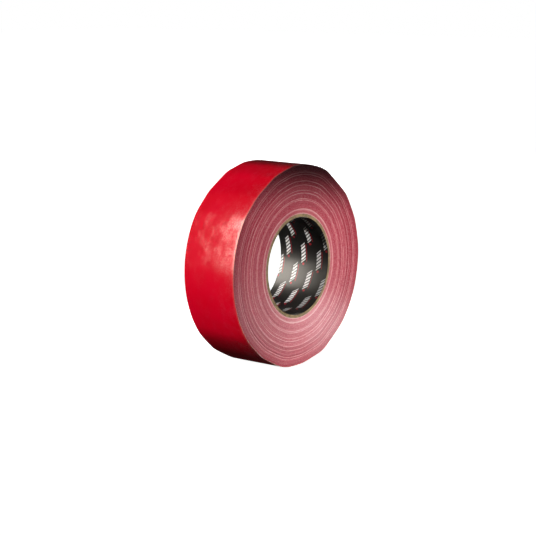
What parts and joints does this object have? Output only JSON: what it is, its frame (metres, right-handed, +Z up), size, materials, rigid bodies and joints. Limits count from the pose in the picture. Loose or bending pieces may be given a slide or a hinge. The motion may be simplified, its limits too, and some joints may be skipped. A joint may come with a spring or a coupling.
{
  "type": "tape roll",
  "caption": "Upright roll of red cloth tape on a paper core with a printed lining, and with a free end that peels off the outer turn.",
  "frame": {"origin": "centre of the core's bore, halfway along its length", "axes": "+Y along the roll's axis, from the front face to the back face; +Z up, with the roll standing on its rim; the free end is on the +X side"},
  "size_m": [0.159, 0.048, 0.158],
  "materials": {
    "liner_paper": "gloss",
    "core_board": "matte",
    "tape_edge": "satin",
    "tape_film": "satin",
    "tape_cloth": "matte",
    "tape_adhesive": "satin"
  },
  "bodies": {
    "roll": {"core_liner": "liner_paper", "core_ply_1": "core_board", "core_ply_2": "core_board", "core_ply_3": "core_board", "core_ply_4": "core_board", "tape_windings": "tape_edge", "outer_turn_adhesive": "tape_adhesive", "outer_turn_cloth": "tape_cloth", "outer_turn_film": "tape_film"},
    "free_end_1": {"free_end_adhesive_1": "tape_adhesive", "free_end_cloth_1": "tape_cloth", "free_end_film_1": "tape_film"},
    "free_end_2": {"free_end_adhesive_2": "tape_adhesive", "free_end_cloth_2": "tape_cloth", "free_end_film_2": "tape_film"},
    "free_end_3": {"free_end_adhesive_3": "tape_adhesive", "free_end_cloth_3": "tape_cloth", "free_end_film_3": "tape_film"},
    "free_end_4": {"free_end_adhesive_4": "tape_adhesive", "free_end_cloth_4": "tape_cloth", "free_end_film_4": "tape_film"}
  },
  "joints": [
    {"name": "free_end_peel", "type": "hinge", "parent": "roll", "child": "free_end_1", "pos_m": [0.06355, 0, 0.04782], "axis": [0, -1, 0], "range_deg": [0, 45]},
    {"name": "free_end_curl_2", "type": "hinge", "parent": "free_end_1", "child": "free_end_2", "pos_m": [0.07211, 0, 0.03358], "axis": [0, -1, 0], "range_deg": [0, 45]},
    {"name": "free_end_curl_3", "type": "hinge", "parent": "free_end_2", "child": "free_end_3", "pos_m": [0.07752, 0, 0.01787], "axis": [0, -1, 0], "range_deg": [0, 45]},
    {"name": "free_end_curl_4", "type": "hinge", "parent": "free_end_3", "child": "free_end_4", "pos_m": [0.07955, 0, 0.00137], "axis": [0, -1, 0], "range_deg": [0, 45]}
  ],
  "couplings": [
    {"joint": "free_end_curl_2", "follows": "free_end_peel", "ratio": 1},
    {"joint": "free_end_curl_3", "follows": "free_end_peel", "ratio": 1},
    {"joint": "free_end_curl_4", "follows": "free_end_peel", "ratio": 1}
  ]
}
